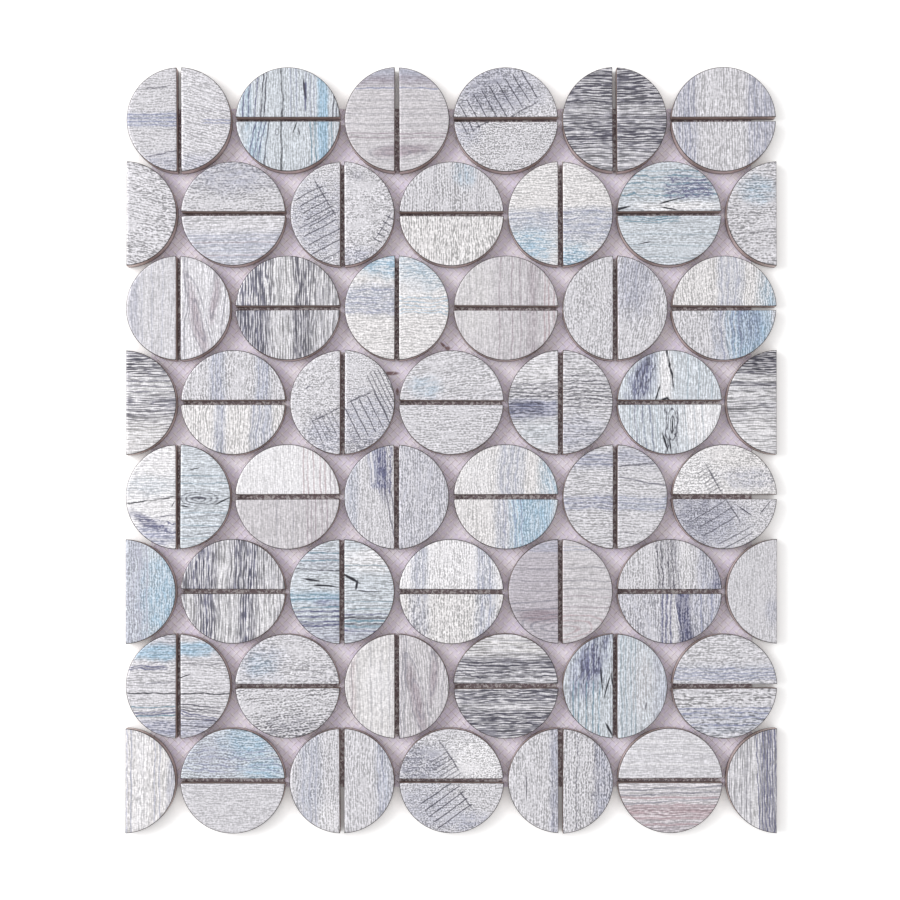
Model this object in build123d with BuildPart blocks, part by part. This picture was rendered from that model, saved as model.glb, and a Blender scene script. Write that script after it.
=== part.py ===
"""Mosaic sheet of half-round aluminium chips, laid in pairs as split discs on a thin net backing.

Millimetres. The sheet lies face up, its back on z = 0 and its outline centred on the origin.
+Y points to the top row.
"""
from build123d import *
from math import sqrt
import os

# Driving dimensions of one chip
disc_diameter = 41.0
chip_thickness = 6.0

# Driving dimensions of the laying pattern; the joint also parts the two halves of a disc
joint = 1.7
discs_in_full_row = 6
row_count = 8

# Driving dimensions of the backing, with the overhang of the chips past each of its edges
backing_thickness = 0.5
side_overhang = 9.0
top_overhang = 15.0
bottom_overhang = 17.5

# Derived from the driving dimensions: discs stand in hexagonal packing
pitch = disc_diameter + joint
row_pitch = pitch * sqrt(3) / 2
sheet_width = (discs_in_full_row - 1) * pitch + disc_diameter
sheet_length = (row_count - 1) * row_pitch + disc_diameter
top_row_y = (row_count - 1) * row_pitch / 2

# Turns about the disc's centre that lay one chip on each side of the slot
RIGHT, UPPER, LEFT, LOWER = 0, 90, 180, 270


def chip_places(row):
    """Location of every chip in a row, counted from the top; slots stand and lie in turn along it."""
    offset_row = row % 2 == 1
    disc_count = discs_in_full_row + 1 if offset_row else discs_in_full_row
    y = top_row_y - row * row_pitch
    places = []
    for disc in range(disc_count):
        x = (disc - (disc_count - 1) / 2) * pitch
        if offset_row and disc == 0:
            turns = (RIGHT,)
        elif offset_row and disc == disc_count - 1:
            turns = (LEFT,)
        elif disc % 2 == 0:
            turns = (LEFT, RIGHT)
        else:
            turns = (UPPER, LOWER)
        places += [Location((x, y, 0), (0, 0, turn)) for turn in turns]
    return places


# One chip: half of a disc, its straight side cut back by half the joint
with BuildPart() as chip:
    with BuildSketch(Plane.XY.offset(backing_thickness)):
        Circle(disc_diameter / 2)
        with Locations((joint / 2, 0)):
            Rectangle(disc_diameter, disc_diameter, align=(Align.MIN, Align.CENTER), mode=Mode.INTERSECT)
    extrude(amount=chip_thickness)

os.makedirs("parts", exist_ok=True)

# Rows of chips, from the top row down
for row in range(row_count):
    with BuildPart() as chip_row:
        with Locations(*chip_places(row)):
            add(chip.part)
    chip_row.part.label = f"chip_row_{row + 1}"
    export_step(chip_row.part, f"parts/{chip_row.part.label}.step")

# Net backing: one thin sheet that the chips are bonded to
with BuildPart() as net_backing:
    with BuildSketch():
        with Locations((0, (bottom_overhang - top_overhang) / 2)):
            Rectangle(sheet_width - 2 * side_overhang, sheet_length - top_overhang - bottom_overhang)
    extrude(amount=backing_thickness)
net_backing.part.label = "net_backing"
export_step(net_backing.part, "parts/net_backing.step")

print(f"sheet {sheet_width:.1f} x {sheet_length:.1f} x {backing_thickness + chip_thickness:.1f} mm")
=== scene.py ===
# %% [markdown]
# # A mosaic sheet of printed half-round metal chips
# The sheet is 96 half-round aluminium chips on a thin adhesive net. Two chips face each other across
# a narrow slot and make a split disc, and the discs lie in hexagonal packing. Every disc carries a
# satin wood-grain print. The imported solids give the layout; this lesson gives each piece its eased
# edge, its print and its net, and leaves every piece where the solids put it.

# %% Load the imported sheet
import math
import bpy
import numpy as np
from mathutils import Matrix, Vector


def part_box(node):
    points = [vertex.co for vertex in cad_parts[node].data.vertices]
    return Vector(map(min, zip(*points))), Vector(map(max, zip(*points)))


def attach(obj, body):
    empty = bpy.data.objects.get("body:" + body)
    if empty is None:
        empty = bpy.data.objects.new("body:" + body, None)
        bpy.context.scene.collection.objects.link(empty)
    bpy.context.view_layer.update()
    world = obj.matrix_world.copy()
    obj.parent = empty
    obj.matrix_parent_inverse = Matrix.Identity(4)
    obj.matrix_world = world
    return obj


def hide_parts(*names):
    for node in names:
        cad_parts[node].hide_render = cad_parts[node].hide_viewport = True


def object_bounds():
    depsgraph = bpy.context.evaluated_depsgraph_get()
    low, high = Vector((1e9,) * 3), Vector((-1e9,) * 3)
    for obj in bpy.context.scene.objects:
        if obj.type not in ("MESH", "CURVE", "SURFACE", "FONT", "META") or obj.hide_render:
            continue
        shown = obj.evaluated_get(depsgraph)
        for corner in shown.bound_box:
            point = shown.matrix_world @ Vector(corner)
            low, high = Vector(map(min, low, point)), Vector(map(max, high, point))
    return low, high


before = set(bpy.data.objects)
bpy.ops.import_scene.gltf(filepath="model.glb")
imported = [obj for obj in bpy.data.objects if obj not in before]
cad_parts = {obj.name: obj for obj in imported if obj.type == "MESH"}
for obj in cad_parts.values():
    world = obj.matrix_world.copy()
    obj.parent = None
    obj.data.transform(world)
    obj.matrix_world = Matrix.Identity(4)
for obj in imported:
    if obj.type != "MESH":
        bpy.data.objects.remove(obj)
cad_low, cad_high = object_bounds()
MM = 0.001
print("nodes:", len(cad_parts), "box in mm:", [round(v / MM, 1) for v in cad_high - cad_low])

# %% [markdown]
# ## Reading the layout from the solids
# The pattern has three sizes: the disc, the joint and the pitch, which is their sum. A full row is as
# tall as one disc. An offset row ends in single half chips, so its width holds six discs and five
# joints. Measuring both boxes gives all three sizes, and nothing has to be typed in twice.

# %% Measure disc, joint and pitch
DISCS_IN_FULL_ROW = 6
row_names = sorted(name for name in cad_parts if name.startswith("chip_row_"))
full_low, full_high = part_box(row_names[0])
offset_low, offset_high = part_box(row_names[1])
disc_diameter = full_high.y - full_low.y
joint = (offset_high.x - offset_low.x - DISCS_IN_FULL_ROW * disc_diameter) / (DISCS_IN_FULL_ROW - 1)
pitch = disc_diameter + joint
radius = disc_diameter / 2
chip_bottom, chip_top = full_low.z, full_high.z
print("disc, joint, pitch in mm:", [round(v / MM, 2) for v in (disc_diameter, joint, pitch)])

# %% [markdown]
# ## Where every chip lies
# Along a row the slots stand and lie in turn. A chip is turned about its disc's centre: 0 is the
# right half, 90 the upper, 180 the left and 270 the lower. The first and last discs of an offset row
# are cut by the sheet's edge, so only their inner half is there.

# %% List the chips of a row
RIGHT, UPPER, LEFT, LOWER = 0, 90, 180, 270


def chips_of_row(row):
    """Disc number, disc centre and turn of each chip of a row, counted from the top."""
    offset_row = row % 2 == 1
    count = DISCS_IN_FULL_ROW + offset_row
    low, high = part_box(row_names[row])
    chips = []
    for disc in range(count):
        centre = ((disc - (count - 1) / 2) * pitch, (low.y + high.y) / 2)
        if offset_row and disc == 0:
            turns = (RIGHT,)
        elif offset_row and disc == count - 1:
            turns = (LEFT,)
        else:
            turns = (LEFT, RIGHT) if disc % 2 == 0 else (UPPER, LOWER)
        chips += [(disc, centre, turn) for turn in turns]
    return chips


print("chips in all:", sum(len(chips_of_row(row)) for row in range(len(row_names))))

# %% [markdown]
# ## One chip as a surface
# A chip is one outline, an arc closed by a straight side, carried up a short profile: out along the
# underside, up the wall, round the eased edge, over a slightly crowned rim and in over the face.
# Moving the outline inwards by s makes the arc's radius R - s and shifts the straight side by s, so
# every ring is the same formula with another s. The eased edge is what catches the light along one
# side of each chip. Each point also keeps its distance from the edge, for the dark rim of the print:
# worn bare metal with a painted shade on it. Along the slot that distance starts a little deeper,
# because the dark rim is narrower there.

# %% The half-round chip
EASED_EDGE, CROWN_WIDTH, CROWN_DROP = 0.3 * MM, 0.8 * MM, 0.1 * MM
FACE_RING = 0.3 * radius
ARC_STEPS, STRAIGHT_STEPS, EASE_STEPS, CROWN_STEPS = 64, 24, 4, 4
SLOT_EDGE = 0.14 * MM


def outline(inset):
    """Outline moved inwards by s: arc of radius R - s about the disc's centre, then the straight side."""
    arc_radius = radius - inset
    flat = joint / 2 + inset
    reach = math.acos(flat / arc_radius)
    angle = np.linspace(-reach, reach, ARC_STEPS + 1)
    along = np.linspace(1, -1, STRAIGHT_STEPS + 1)[1:-1] * arc_radius * math.sin(reach)
    x = np.concatenate([arc_radius * np.cos(angle), np.full(along.size, flat)])
    y = np.concatenate([arc_radius * np.sin(angle), along])
    return x, y


def chip_profile():
    """Inset and height of each ring: wall foot, quarter round, crowned edge, then one ring on the face.

    Over the crowned edge the face dips by the drop times (1 - t) squared, with t from 0 to 1 across it.
    """
    bend = np.linspace(0, math.pi / 2, EASE_STEPS + 1)
    t = np.linspace(0, 1, CROWN_STEPS + 1)[1:]
    inset = np.concatenate(
        [[0], EASED_EDGE * (1 - np.cos(bend)), EASED_EDGE + CROWN_WIDTH * t, [FACE_RING]])
    edge = chip_top - CROWN_DROP - EASED_EDGE * (1 - np.sin(bend))
    height = np.concatenate([[chip_bottom], edge, chip_top - CROWN_DROP * (1 - t) ** 2, [chip_top]])
    return inset, height


def half_round_chip():
    """Points and faces of the right half of a disc about its centre, with a pole on each face.

    Row k of the grid is the outline at inset k and height k. Quads join neighbouring rows, and fans
    join the first and last rows to the poles. Also which faces are printed, and each point's
    distance from the edge.
    """
    inset, height = chip_profile()
    x, y = np.array([outline(s) for s in inset]).transpose(1, 0, 2)
    rings, around = x.shape
    points = np.stack([x, y, np.repeat(height[:, None], around, 1)], 2).reshape(-1, 3)
    middle = (radius + joint / 2) / 2
    points = np.vstack([points, [[middle, 0, chip_bottom], [middle, 0, chip_top]]])
    step = np.arange(around)
    after = (step + 1) % around
    ring = np.arange(rings - 1)[:, None] * around
    quads = np.stack([ring + step, ring + after, ring + around + after, ring + around + step], 2)
    foot, head = rings * around, rings * around + 1
    under = np.stack([after, step, np.full(around, foot)], 1)
    last = (rings - 1) * around
    over = np.stack([last + step, last + after, np.full(around, head)], 1)
    faces = under.tolist() + quads.reshape(-1, 4).tolist() + over.tolist()
    on_face = np.concatenate([np.zeros(2 * around, bool), np.ones(len(faces) - 2 * around, bool)])
    at_slot = np.where(step > ARC_STEPS, SLOT_EDGE, 0)
    depth = np.append((inset[:, None] + at_slot).ravel(), [0, middle])
    return points, faces, on_face, depth


chip_points, chip_faces, chip_on_face, chip_inset = half_round_chip()
print("points and faces of one chip:", len(chip_points), len(chip_faces))

# %% [markdown]
# ## Laying the rows
# Hand-laid chips never lie perfectly true, so each one is turned by a fraction of a degree and moved
# by a tenth of a millimetre, from a seeded draw. All twelve chips of a row are one mesh. Its UV map
# holds the place on the disc, in disc radii from the disc's centre, so a print runs on across the
# slot, and the attribute inset holds the distance from the chip's own edge in millimetres.

# %% Build the rows of chips
LAID_TURN, LAID_SHIFT = math.radians(0.35), 0.12 * MM
LAYING_SEED = 41
SHARP_FROM = math.radians(40)
laying = np.random.default_rng(LAYING_SEED)


def turned(points, angle):
    """Points turned about the upright axis: x cos a - y sin a, x sin a + y cos a."""
    x, y, z = points.T
    c, s = np.cos(angle), np.sin(angle)
    return np.stack([x * c - y * s, x * s + y * c, z], 1)


def lay_row(row):
    """One mesh with the chips of a row; face materials count from 1 per chip, and 0 is the bare wall."""
    points, places, faces, inks, first = [], [], [], [], 0
    for number, (disc, (x, y), turn) in enumerate(chips_of_row(row)):
        on_disc = turned(chip_points, math.radians(turn))
        nudge = laying.uniform(-1, 1, 3)
        spot = [x + nudge[1] * LAID_SHIFT, y + nudge[2] * LAID_SHIFT, 0]
        points.append(turned(on_disc, nudge[0] * LAID_TURN) + spot)
        places.append(on_disc[:, :2] / radius)
        faces += [[first + i for i in face] for face in chip_faces]
        inks.append(np.where(chip_on_face, number + 1, 0))
        first += len(chip_points)
    mesh = bpy.data.meshes.new(f"printed_chips_{row + 1}")
    mesh.from_pydata(np.vstack(points).tolist(), [], faces)
    corner = np.empty(len(mesh.loops), np.int32)
    mesh.loops.foreach_get("vertex_index", corner)
    mesh.uv_layers.new(name="disc").data.foreach_set("uv", np.vstack(places)[corner].ravel())
    inset = mesh.attributes.new("inset", "FLOAT", "POINT")
    inset.data.foreach_set("value", np.tile(chip_inset / MM, len(inks)))
    mesh.polygons.foreach_set("material_index", np.concatenate(inks).astype(np.int32))
    mesh.polygons.foreach_set("use_smooth", np.ones(len(mesh.polygons), bool))
    mesh.set_sharp_from_angle(angle=SHARP_FROM)
    return mesh


def put(mesh, node):
    """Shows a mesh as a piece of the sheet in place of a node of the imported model."""
    piece = bpy.data.objects.new(mesh.name, mesh)
    bpy.context.scene.collection.objects.link(piece)
    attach(piece, "root")
    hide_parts(node)
    return piece


chip_rows = [put(lay_row(row), name) for row, name in enumerate(row_names)]
print("rows:", len(chip_rows), "faces in a row:", len(chip_rows[0].data.polygons))

# %% [markdown]
# ## The net that carries the chips
# Behind the chips is a thin adhesive film with a diamond net in it. The film is one closed slab, laid
# out as a grid with a slow ripple. The net is two families of threads that cross at right angles,
# each running at 45 degrees to the sheet. A thread rises over one crossing and dips under the next,
# so its centre line is a zigzag in height, and a four-sided tube is carried along it.

# %% The film
film_low, film_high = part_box("net_backing")
backing_height = film_high.z - film_low.z
FILM_SHARE = (0.34, 0.66)
FILM_CELLS = (72, 80)
RIPPLE, RIPPLE_WAVES = 0.025 * MM, (9, 11)


def film_slab():
    """Two height fields over one grid, upper and lower, closed by a strip round the rim.

    Height is the mean height plus a ripple: sine of x times cosine of y, a few half waves a side.
    """
    u, v = np.meshgrid(np.linspace(0, 1, FILM_CELLS[0] + 1), np.linspace(0, 1, FILM_CELLS[1] + 1))
    x = film_low.x + u * (film_high.x - film_low.x)
    y = film_low.y + v * (film_high.y - film_low.y)
    across, up = RIPPLE_WAVES
    ripple = RIPPLE * np.sin(across * np.pi * u) * np.cos(up * np.pi * v)
    sides = [np.stack([x, y, film_low.z + share * backing_height + ripple], 2) for share in FILM_SHARE]
    points = np.concatenate([side.reshape(-1, 3) for side in sides])
    index = np.arange(u.size).reshape(u.shape)
    a, b, c, d = index[:-1, :-1], index[:-1, 1:], index[1:, 1:], index[1:, :-1]
    lower = np.stack([a, d, c, b], 2).reshape(-1, 4)
    upper = np.stack([a, b, c, d], 2).reshape(-1, 4) + u.size
    rim = np.concatenate([index[0, :-1], index[:-1, -1], index[-1, :0:-1], index[:0:-1, 0]])
    ahead = np.roll(rim, -1)
    wall = np.stack([rim, ahead, ahead + u.size, rim + u.size], 1)
    return points, np.concatenate([lower, upper, wall])


points, faces = film_slab()
film_mesh = bpy.data.meshes.new("backing_film")
film_mesh.from_pydata(points.tolist(), [], faces.tolist())
film = put(film_mesh, "net_backing")
print("film faces:", len(faces))

# %% The threads
CELL = 2.3 * MM
THREAD_RADIUS = 0.13 * MM
WEAVE_LIFT = 0.05 * MM
FLAT_RATIO = 1.5


def thread_family(slope):
    """Tubes along the lines x - slope * y = constant, one each cell, cut off at the film's edges.

    A line with a single crossing inside the film is left out, since a tube needs two.
    Crossing (i, j) lies i cells along and j cells across the threads. Its height is the mid height
    plus or minus the lift, with the sign of (-1) to the power i + j, reversed for the other family.
    """
    middle = np.array([(film_low.x + film_high.x) / 2, (film_low.y + film_high.y) / 2])
    half = np.array([film_high.x - film_low.x, film_high.y - film_low.y]) / 2 - THREAD_RADIUS
    ahead = np.array([1, slope]) / math.sqrt(2)
    aside = np.array([-slope, 1]) / math.sqrt(2)
    count = int(half.sum() / math.sqrt(2) / CELL)
    i, j = np.meshgrid(np.arange(-count, count + 1), np.arange(-count, count + 1))
    centre = i[..., None] * CELL * ahead + j[..., None] * CELL * aside
    inside = (np.abs(centre) <= half).all(2)
    before = np.pad(inside, ((0, 0), (1, 0)))[:, :-1]
    after = np.pad(inside, ((0, 0), (0, 1)))[:, 1:]
    inside &= before | after
    height = film_low.z + backing_height / 2 + slope * WEAVE_LIFT * (1 - 2 * ((i + j) % 2))
    corners = []
    for side, rise in ((0, 1), (1, 0), (0, -1), (-1, 0)):
        across = centre + side * THREAD_RADIUS * FLAT_RATIO * aside + middle
        corners.append(np.concatenate([across, (height + rise * THREAD_RADIUS)[..., None]], 2))
    ring = np.stack(corners, 2)
    number = np.full(inside.shape, -1)
    number[inside] = np.arange(inside.sum())
    joined = inside[:, :-1] & inside[:, 1:]
    start, end = number[:, :-1][joined] * 4, number[:, 1:][joined] * 4
    quads = []
    for k in range(4):
        n = (k + 1) % 4
        quads.append(np.stack([start + k, start + n, end + n, end + k], 1))
    first, last = number[inside & ~before] * 4, number[inside & ~after] * 4
    start_caps = np.stack([first + 3, first + 2, first + 1, first], 1)
    end_caps = np.stack([last, last + 1, last + 2, last + 3], 1)
    return ring[inside].reshape(-1, 3), np.concatenate([*quads, start_caps, end_caps])


threads = []
for name, slope in (("net_threads_rising", 1), ("net_threads_falling", -1)):
    points, faces = thread_family(slope)
    mesh = bpy.data.meshes.new(name)
    mesh.from_pydata(points.tolist(), [], faces.tolist())
    threads.append(put(mesh, "net_backing"))
    print(name, "faces:", len(faces))

# %% [markdown]
# ## Building materials from nodes
# Every finish here is made of shader nodes. A few small helpers keep the trees readable: they add a
# node and feed it, do sums with numbers and vectors, make a soft step, a noise or a blend, and open
# a node group with named inputs, so an effect is built once and used in many prints.

# %% Helpers for node trees


def node(tree, kind, inputs=None, **settings):
    """Adds a shader node, sets its options and feeds its inputs with sockets or plain values."""
    made = tree.nodes.new("ShaderNode" + kind)
    for name, value in settings.items():
        setattr(made, name, value)
    for name, value in (inputs or {}).items():
        if isinstance(value, bpy.types.NodeSocket):
            tree.links.new(value, made.inputs[name])
        else:
            made.inputs[name].default_value = value
    return made


def sums(tree, operation, *values):
    """Output of a Math node fed with sockets or numbers."""
    return node(tree, "Math", dict(enumerate(values)), operation=operation).outputs[0]


def vectors(tree, operation, first, second):
    """Output of a Vector Math node fed with two sockets or plain vectors."""
    return node(tree, "VectorMath", {0: first, 1: second}, operation=operation).outputs[0]


def dimmed(tree, colour, share):
    """Colour times a number."""
    return node(tree, "VectorMath", {0: colour, "Scale": share}, operation="SCALE").outputs[0]


def split(tree, vector):
    """The three numbers of a vector."""
    return node(tree, "SeparateXYZ", {0: vector}).outputs


def distance(tree, x, y):
    """Root of x squared plus y squared."""
    return sums(tree, "SQRT", sums(tree, "MULTIPLY_ADD", x, x, sums(tree, "MULTIPLY", y, y)))


def step(tree, value, start, end):
    """Soft step: 0 at the start, 1 at the end, smooth between; the start may be the larger one."""
    sockets = {"Value": value, "From Min": start, "From Max": end}
    return node(tree, "MapRange", sockets, interpolation_type="SMOOTHSTEP").outputs[0]


def noise(tree, vector, scale, detail):
    """Value of a noise texture, 0 to 1 and about 0.5 on average."""
    sockets = {"Vector": vector, "Scale": scale, "Detail": detail}
    return node(tree, "TexNoise", sockets).outputs["Fac"]


def swing(tree, vector, scale, detail):
    """Noise about zero: a noise texture less its average."""
    return sums(tree, "SUBTRACT", noise(tree, vector, scale, detail), 0.5)


def blend(tree, share, first, second):
    """Colour between two colours."""
    return node(tree, "Mix", {0: share, 6: first, 7: second}, data_type="RGBA").outputs[2]


def feed(tree, inputs, values):
    """Links each named value to the input of that name."""
    for name, value in values.items():
        tree.links.new(value, inputs[name])


def group(name, inputs, outputs):
    """Opens a node group; an input given as None is a vector, as a tuple a colour, else a number."""
    tree = bpy.data.node_groups.new(name, "ShaderNodeTree")
    by_value = {type(None): "NodeSocketVector", tuple: "NodeSocketColor"}
    by_title = {"Vector": "NodeSocketVector", "Colour": "NodeSocketColor"}
    for title, usual in inputs.items():
        kind = by_value.get(type(usual), "NodeSocketFloat")
        socket = tree.interface.new_socket(title, in_out="INPUT", socket_type=kind)
        if usual is not None:
            socket.default_value = usual
    for title in outputs:
        kind = by_title.get(title, "NodeSocketFloat")
        tree.interface.new_socket(title, in_out="OUTPUT", socket_type=kind)
    return tree, tree.nodes.new("NodeGroupInput").outputs, tree.nodes.new("NodeGroupOutput").inputs


def use(tree, effect, **inputs):
    """Outputs of a group put into a tree; an underscore in a keyword stands for a space."""
    named = {name.replace("_", " "): value for name, value in inputs.items()}
    return node(tree, "Group", named, node_tree=effect).outputs


print("node helpers ready")

# %% [markdown]
# ## Wood grain as a vector field
# A print has a grain direction. Its coordinates are along, the first number, and across, the second,
# in disc radii. Real grain wanders, so across is shifted by slow noise before anything is drawn, and
# every line of the print follows the same wander. Fibres are noise that is squeezed across the grain:
# where it is high the ink is dark, where it is low the bare bright ground shows. A comb of fine
# lines, bent by the broad streaks, is added for straight wood, and a slow noise makes the fibres
# strong in some patches and worn in others.

# %% Wavy grain
tree, given, result = group("wavy_grain", {"Vector": None, "Wave": 0.05, "Reach": 1.4}, ["Vector"])
slow = swing(tree, given["Vector"], given["Reach"], 1.0)
shift = sums(tree, "MULTIPLY", slow, sums(tree, "MULTIPLY", given["Wave"], 4))
aside = node(tree, "CombineXYZ", {"Y": shift}).outputs[0]
feed(tree, result, {"Vector": vectors(tree, "ADD", given["Vector"], aside)})
wavy_grain = tree
print("group:", wavy_grain.name)

# %% Fibres
COMB_SPACING, COMB_WANDER = 0.048, 9.0
PATCHES, PATCH_CONTRAST, PALE_LEVEL = (1.6, 3.6, 3.0), 3.2, 0.04


def squeezed(tree, given, finer, longer):
    """Noise of the grain vector times fineness across and fineness over stretch along, about zero."""
    across = sums(tree, "MULTIPLY", given["Fineness"], finer)
    along = sums(tree, "DIVIDE", across, sums(tree, "MULTIPLY", given["Stretch"], longer))
    size = node(tree, "CombineXYZ", {"X": along, "Y": across, "Z": 3.0}).outputs[0]
    return swing(tree, vectors(tree, "MULTIPLY", given["Vector"], size), 1.0, 0.0)


tree, given, result = group(
    "fibres", {"Vector": None, "Fineness": 58.0, "Stretch": 4.0, "Lined": 0.14},
    ["Dark", "Light", "Brush", "Hair", "Plank"])
strand, streak = squeezed(tree, given, 1.0, 1.0), squeezed(tree, given, 0.4, 2.0)
hair, plank = squeezed(tree, given, 0.8, 5.0), squeezed(tree, given, 0.16, 2.5)
turn = sums(tree, "MULTIPLY", split(tree, given["Vector"])["Y"], 2 * math.pi / COMB_SPACING)
comb = sums(tree, "SINE", sums(tree, "MULTIPLY_ADD", streak, COMB_WANDER, turn))
strand = sums(tree, "MULTIPLY_ADD", comb, given["Lined"], strand)
patchy = swing(tree, vectors(tree, "MULTIPLY", given["Vector"], PATCHES), 1.0, 2.0)
wear = sums(tree, "MULTIPLY_ADD", patchy, PATCH_CONTRAST, 1.0)
strand = sums(tree, "MULTIPLY", sums(tree, "ADD", strand, PALE_LEVEL), wear)
strand = sums(tree, "SUBTRACT", strand, PALE_LEVEL)
brushed = sums(tree, "MULTIPLY", sums(tree, "ADD", strand, streak), 0.5)
for output, value, start, end in (
        ("Dark", strand, 0.03, 0.17), ("Light", strand, -0.02, -0.16), ("Brush", brushed, -0.1, 0.06),
        ("Hair", hair, 0.12, 0.2), ("Plank", plank, -0.05, 0.25)):
    feed(tree, result, {output: step(tree, value, start, end)})
fibres = tree
print("group:", fibres.name)

# %% [markdown]
# ## Marks on the wood
# Four marks draw everything else. A grain band runs along the grain between two ends, and a thin one
# is a seam or a crack. An ink blot is a ragged ellipse, and a soft white one is a painted sheen.
# Saw marks are a block of short parallel cuts.
# Growth rings are nested ellipses, which are a knot when small and a flame figure when long. Each mark
# can be broken up by the fibres, so the ink looks brushed into the same grain.

# %% What the marks share
COMMON = {"Vector": None, "Fibre": 1.0, "Streaky": 0.6, "Strength": 0.7}
PLACE = {"Along": 0.0, "Across": 0.0, "Long": 0.4, "Wide": 0.2, "Turn": 0.0}
LINE_CORE = 0.3


def finish_mark(tree, given, result, mask):
    """Mark times strength, thinned by the fibres as far as it is streaky; returns the group."""
    gap = sums(tree, "SUBTRACT", given["Fibre"], 1)
    thinned = sums(tree, "MULTIPLY_ADD", given["Streaky"], gap, 1)
    mask = sums(tree, "MULTIPLY", sums(tree, "MULTIPLY", mask, thinned), given["Strength"])
    feed(tree, result, {"Mask": mask})
    return tree


def local(tree, given):
    """Distance along and across from a mark's middle after turning the print by the mark's turn."""
    middle = node(tree, "CombineXYZ", {"X": given["Along"], "Y": given["Across"]}).outputs[0]
    sockets = {"Vector": vectors(tree, "SUBTRACT", given["Vector"], middle),
               "Angle": sums(tree, "MULTIPLY", given["Turn"], -1)}
    laid = split(tree, node(tree, "VectorRotate", sockets, rotation_type="Z_AXIS").outputs[0])
    return laid["X"], laid["Y"]


def ragged_span(tree, given, coarseness, detail):
    """Distance from a mark's middle, 1 on the ellipse of its length and width, torn by noise."""
    along, across = local(tree, given)
    along = sums(tree, "DIVIDE", along, given["Long"])
    across = sums(tree, "DIVIDE", across, given["Wide"])
    torn = swing(tree, given["Vector"], coarseness, detail)
    return sums(tree, "MULTIPLY_ADD", torn, given["Ragged"], distance(tree, along, across))


def thin_lines(tree, value, thickness):
    """1 on lines half a step apart in the value, 0 beyond the thickness."""
    tooth = sums(tree, "PINGPONG", value, 0.5)
    return step(tree, tooth, thickness, sums(tree, "MULTIPLY", thickness, LINE_CORE))


print("shared inputs of marks:", len(COMMON) + len(PLACE))

# %% Bands and blots
tree, given, result = group("grain_band", {
    **COMMON, "Centre": 0.0, "Half Width": 0.1, "Softness": 0.05, "Slope": 0.0, "Waver": 0.05,
    "From": -2.0, "To": 2.0}, ["Mask"])
place = split(tree, given["Vector"])
middle = sums(tree, "MULTIPLY_ADD", place["X"], given["Slope"], given["Centre"])
trembling = swing(tree, given["Vector"], 5.0, 3.0)
middle = sums(tree, "MULTIPLY_ADD", trembling, given["Waver"], middle)
off = sums(tree, "ABSOLUTE", sums(tree, "SUBTRACT", place["Y"], middle))
outer = sums(tree, "ADD", given["Half Width"], given["Softness"])
mask = step(tree, off, outer, sums(tree, "SUBTRACT", given["Half Width"], given["Softness"]))
for limit, outwards, inwards in (("From", "SUBTRACT", "ADD"), ("To", "ADD", "SUBTRACT")):
    none, full = sums(tree, outwards, given[limit], 0.04), sums(tree, inwards, given[limit], 0.06)
    mask = sums(tree, "MULTIPLY", mask, step(tree, place["X"], none, full))
grain_band = finish_mark(tree, given, result, mask)

tree, given, result = group(
    "ragged_blot", {**COMMON, **PLACE, "Softness": 0.4, "Ragged": 0.5}, ["Mask"])
span = ragged_span(tree, given, 6.0, 4.0)
outer = sums(tree, "ADD", 1, given["Softness"])
mask = step(tree, span, outer, sums(tree, "SUBTRACT", 1, given["Softness"]))
ragged_blot = finish_mark(tree, given, result, mask)
print("marks:", grain_band.name, ragged_blot.name)

# %% Saw marks and growth rings
tree, given, result = group(
    "saw_marks", {**COMMON, **PLACE, "Spacing": 0.1, "Thickness": 0.2}, ["Mask"])
along, across = local(tree, given)
worn = swing(tree, given["Vector"], 5.0, 3.0)
wobbly = sums(tree, "MULTIPLY_ADD", worn, 0.03, along)
cut = thin_lines(tree, sums(tree, "DIVIDE", wobbly, given["Spacing"]), given["Thickness"])
inner = sums(tree, "SUBTRACT", given["Long"], 0.03)
within = step(tree, sums(tree, "ABSOLUTE", along), given["Long"], inner)
reach = sums(tree, "MULTIPLY", given["Wide"], sums(tree, "MULTIPLY_ADD", worn, 0.5, 1))
beside = sums(tree, "DIVIDE", sums(tree, "ABSOLUTE", across), reach)
block = sums(tree, "MULTIPLY", within, step(tree, beside, 1.05, 0.9))
saw_marks = finish_mark(tree, given, result, sums(tree, "MULTIPLY", cut, block))

tree, given, result = group(
    "growth_rings", {**COMMON, **PLACE, "Rings": 5.0, "Thickness": 0.3, "Ragged": 0.3}, ["Mask"])
grown = ragged_span(tree, given, 3.0, 3.0)
ring = thin_lines(tree, sums(tree, "MULTIPLY", grown, given["Rings"]), given["Thickness"])
mask = sums(tree, "MULTIPLY", ring, step(tree, grown, 1.1, 0.8))
growth_rings = finish_mark(tree, given, result, mask)
print("marks:", saw_marks.name, growth_rings.name)

# %% [markdown]
# ## The satin face
# The print lies on brushed aluminium. A faint weave, one noise stretched along and one across, gives
# the linen-like sparkle of the face in colour, in gloss and in height. The eased edge has lost its
# print: there the bare metal shows, smoother and twice as metallic, and its near-black colour is a
# painted shade, the dark line along each chip's edge and at both sides of every slot.

# %% Satin face and worn edge with painted shade
WEAVE_SIZES = (18, 56, 3), (56, 18, 3)
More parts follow.
